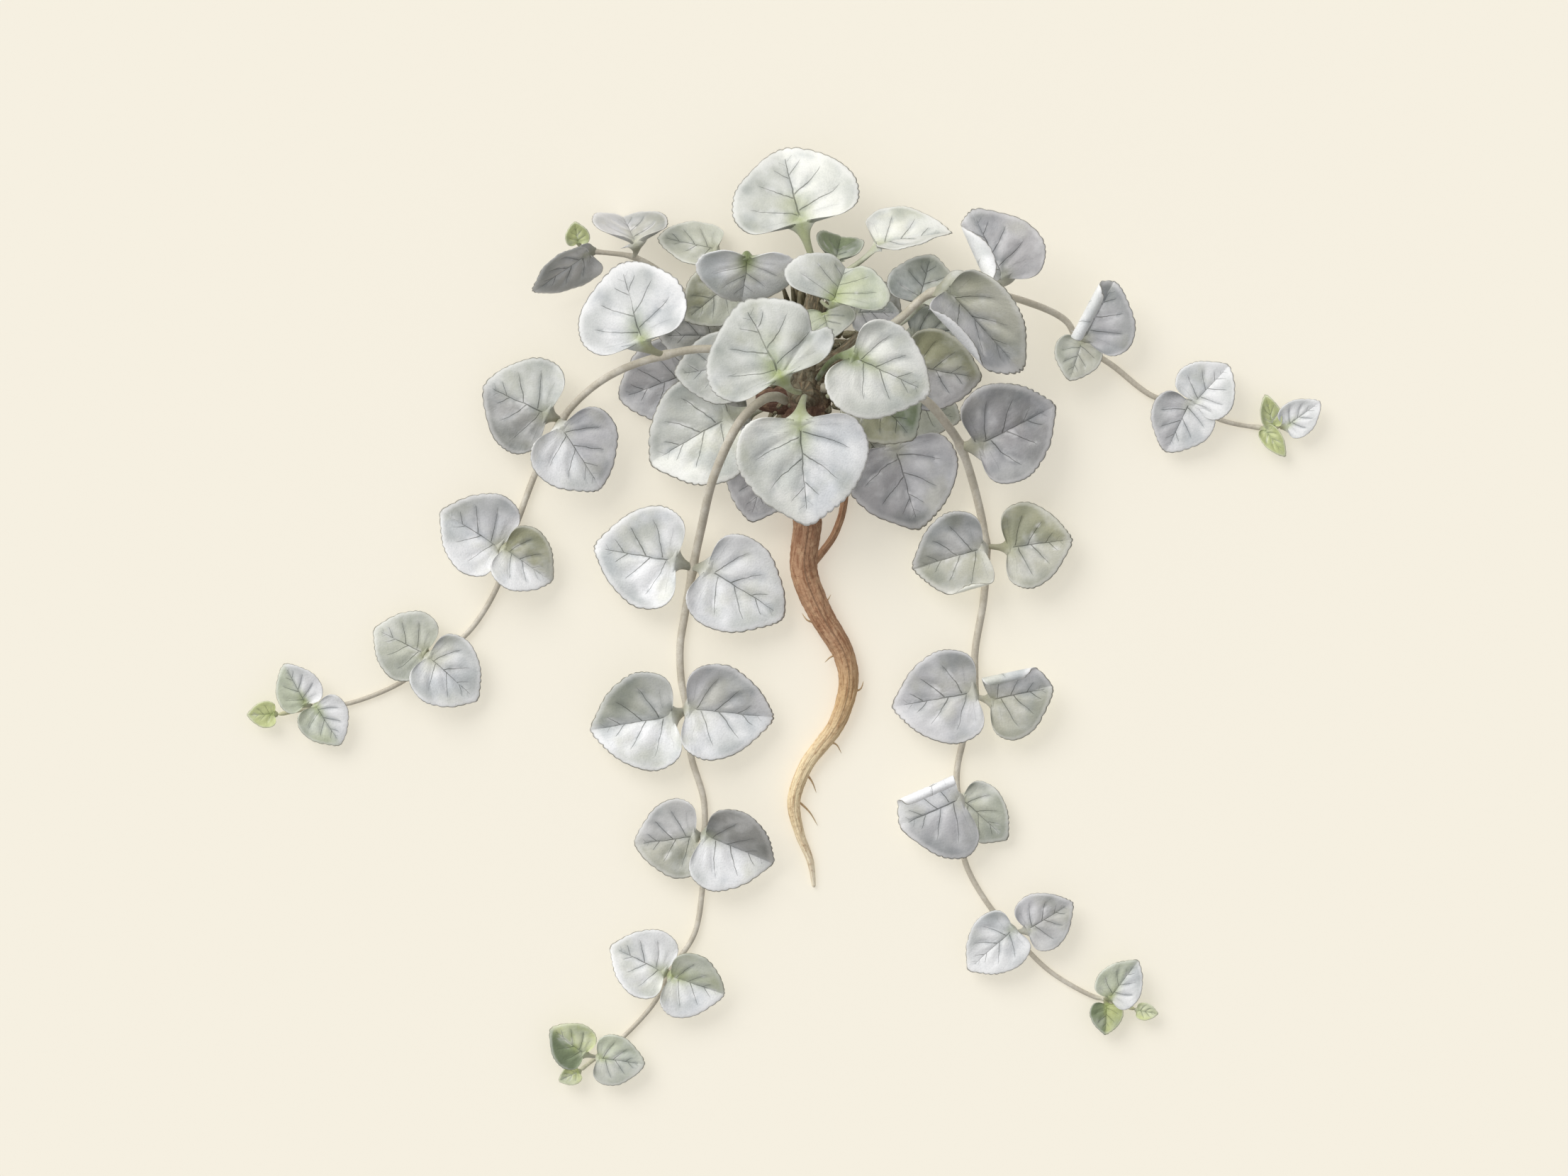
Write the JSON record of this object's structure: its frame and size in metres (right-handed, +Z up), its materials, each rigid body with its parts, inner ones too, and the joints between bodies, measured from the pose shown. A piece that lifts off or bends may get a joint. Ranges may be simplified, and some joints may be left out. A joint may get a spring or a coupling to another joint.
{
  "type": "bare-root silver ponyfoot plant",
  "caption": "Trailing foliage plant lifted with its taproot and laid flat: a mound of round, notched, silvery leaves over a woody crown, with leafy runners around it.",
  "frame": {"origin": "the flat spot under the crown, on the surface that the plant lies on", "axes": "+Z up from the surface, +Y along the plant from the root's tip towards the top leaf, +X to the right as seen from above"},
  "size_m": [0.2434, 0.2123, 0.0294],
  "materials": {
    "silver_leaf": "felted, matt, silvery grey-green",
    "green_leaf": "softly felted, matt, olive green",
    "runner": "felted silvery leaves on a matt tan stem",
    "root": "matt brown bark, cream at the thin tip"
  },
  "bodies": {
    "root": {"crown_and_taproot": "root", "crown_leaf_top": "silver_leaf", "crown_leaf_top_right": "silver_leaf", "crown_leaf_inner_green": "green_leaf", "crown_leaf_back_left": "silver_leaf", "crown_leaf_upper_front": "silver_leaf", "crown_leaf_upper_right": "silver_leaf", "crown_leaf_inner_small": "silver_leaf", "crown_leaf_front_left": "silver_leaf", "crown_leaf_front_right": "silver_leaf", "crown_leaf_front_low": "silver_leaf", "crown_leaf_left_under": "silver_leaf", "crown_leaf_left_dark": "silver_leaf", "crown_leaf_left_mid": "silver_leaf", "crown_leaf_left_low": "silver_leaf", "crown_leaf_left_foot": "silver_leaf", "crown_leaf_left_peek": "silver_leaf", "crown_leaf_low_left": "silver_leaf", "crown_leaf_low_right": "silver_leaf", "crown_leaf_right_green": "green_leaf", "crown_leaf_right_mid": "silver_leaf", "crown_leaf_right_light": "silver_leaf", "crown_leaf_right_back": "silver_leaf", "crown_leaf_right_teal": "silver_leaf", "crown_leaf_right_inner": "silver_leaf", "crown_leaf_under_left_front": "silver_leaf", "crown_leaf_under_left": "silver_leaf", "crown_leaf_under_left_back": "silver_leaf", "crown_leaf_under_right_back": "silver_leaf", "crown_leaf_under_right": "silver_leaf", "crown_leaf_under_right_front": "silver_leaf", "runner_left": "runner", "runner_front": "runner", "runner_right": "runner", "runner_upper_right": "runner", "runner_upper_left": "runner"}
  },
  "joints": []
}
